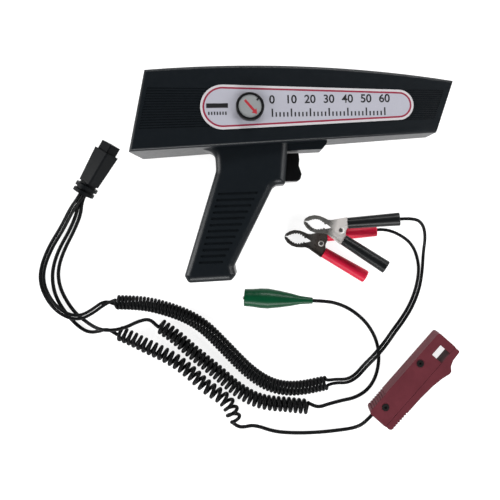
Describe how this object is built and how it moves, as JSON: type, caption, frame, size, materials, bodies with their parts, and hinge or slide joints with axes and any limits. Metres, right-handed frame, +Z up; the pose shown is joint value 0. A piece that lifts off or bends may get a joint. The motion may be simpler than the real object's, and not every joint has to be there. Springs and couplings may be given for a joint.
{
  "type": "inductive timing light",
  "caption": "Pistol-shaped xenon timing light with advance dial and trigger, lying with its unplugged lead set of battery clips, small signal clip and inductive clamp.",
  "frame": {"origin": "point of the barrel's flat far side under the barrel axis, on the surface the object lies on", "axes": "+X along the barrel towards the lens, +Y towards the barrel's upper edge, +Z up, away from the surface"},
  "size_m": [0.3603, 0.312, 0.0587],
  "materials": {
    "case_plastic": "satin injection moulded plastic, bluish black",
    "screw_steel": "zinc plated steel",
    "clear_lens": "clear polycarbonate",
    "bright_metal": "vacuum metallised",
    "tube_glass": "clear glass xenon tube",
    "white_plastic": "white heat resistant plastic",
    "board": "green lacquered circuit board",
    "capacitor_sleeve": "blue shrink sleeve",
    "ferrite": "dark sintered ferrite",
    "grey_metal": "plain metal",
    "black_plastic": "black thermoplastic",
    "brass_contact": "brass contacts",
    "cord_vinyl": "semi-gloss black vinyl",
    "label_face": "silver-lavender printed film with white rim and thin red line",
    "knob_plastic": "black knob",
    "knob_cap": "light grey cap with a red pointer stripe",
    "trigger_plastic": "jet black plastic",
    "spring_steel": "spring wire",
    "connector_plastic": "black moulded vinyl",
    "nickel_steel": "nickel plated pressed steel",
    "red_vinyl": "crimson dipped vinyl",
    "black_vinyl": "glossy black dipped vinyl",
    "green_vinyl": "deep green vinyl boot",
    "clamp_plastic": "burgundy moulded plastic",
    "copper_wire": "enamelled copper winding",
    "black_steel": "blackened steel screws"
  },
  "bodies": {
    "gun": {"battery_coil": "cord_vinyl", "black_jaw_fixed": "nickel_steel", "black_sleeve_fixed": "black_vinyl", "black_spring": "spring_steel", "case_screws": "screw_steel", "circuit_board": "board", "clamp_case_lower": "clamp_plastic", "clamp_case_upper": "clamp_plastic", "clamp_screws": "black_steel", "clamp_spring": "spring_steel", "clip_rivets": "screw_steel", "connector_body": "connector_plastic", "connector_contacts": "brass_contact", "connector_nose": "connector_plastic", "connector_relief": "connector_plastic", "core_fixed": "ferrite", "face_label": "label_face", "flash_tube": "tube_glass", "front_lens": "clear_lens", "inner_wiring": "cord_vinyl", "negative_front": "cord_vinyl", "negative_tail": "cord_vinyl", "pickup_coil": "cord_vinyl", "pickup_front": "cord_vinyl", "pickup_tail": "cord_vinyl", "pickup_winding": "copper_wire", "positive_front": "cord_vinyl", "positive_tail": "cord_vinyl", "potentiometer": "grey_metal", "power_socket": "black_plastic", "red_jaw_fixed": "nickel_steel", "red_sleeve_fixed": "red_vinyl", "red_spring": "spring_steel", "reflector": "bright_metal", "shell_far": "case_plastic", "shell_near": "case_plastic", "signal_boot": "green_vinyl", "signal_coil": "cord_vinyl", "signal_front": "cord_vinyl", "signal_jaw_fixed": "nickel_steel", "signal_spring": "spring_steel", "signal_tail": "cord_vinyl", "socket_pins": "brass_contact", "storage_capacitor": "capacitor_sleeve", "trigger_spring": "spring_steel", "trigger_switch": "black_plastic", "trigger_transformer": "ferrite", "tube_holder": "white_plastic"},
    "knob": {"advance_knob": "knob_plastic", "knob_cap": "knob_cap", "knob_shaft": "grey_metal"},
    "trigger": {"trigger": "trigger_plastic"},
    "red_lever": {"red_jaw_moving": "nickel_steel", "red_sleeve_moving": "red_vinyl"},
    "black_lever": {"black_jaw_moving": "nickel_steel", "black_sleeve_moving": "black_vinyl"},
    "signal_lever": {"signal_jaw_moving": "nickel_steel"},
    "clamp_jaw": {"clamp_slider": "clamp_plastic", "core_moving": "ferrite"}
  },
  "joints": [
    {"name": "advance_knob_turn", "type": "hinge", "parent": "gun", "child": "knob", "pos_m": [-0.03614, 0.001, 0.04858], "axis": [0.1103, 0, 0.9939], "range_deg": [-140, 140]},
    {"name": "trigger_pull", "type": "slide", "parent": "gun", "child": "trigger", "axis": [-0.9985, 0, 0.0552], "range_m": [0, 0.005], "stiffness_N_per_m": 400, "springref_m": -0.004, "deforming": ["trigger_spring"]},
    {"name": "red_clip_open", "type": "hinge", "parent": "gun", "child": "red_lever", "pos_m": [0.0182, -0.1101, 0.0057], "axis": [0, 0, 1], "range_deg": [0, 32], "stiffness_Nm_per_rad": 0.6, "springref_deg": -34.38, "deforming": ["red_spring"]},
    {"name": "black_clip_open", "type": "hinge", "parent": "gun", "child": "black_lever", "pos_m": [0.0349, -0.0991, 0.0205], "axis": [-0.1336, 0.0388, 0.9903], "range_deg": [0, 32], "stiffness_Nm_per_rad": 0.6, "springref_deg": -34.38, "deforming": ["black_spring"]},
    {"name": "signal_clip_open", "type": "hinge", "parent": "gun", "child": "signal_lever", "pos_m": [-0.02807, -0.15595, 0.0087], "axis": [0, 0, 1], "range_deg": [0, 7], "stiffness_Nm_per_rad": 0.1, "springref_deg": -28.65, "deforming": ["signal_spring"]},
    {"name": "clamp_jaw_slide", "type": "slide", "parent": "gun", "child": "clamp_jaw", "axis": [-0.6858, -0.7278, 0], "range_m": [0, 0.015], "stiffness_N_per_m": 250, "springref_m": -0.012, "deforming": ["clamp_spring"]}
  ]
}
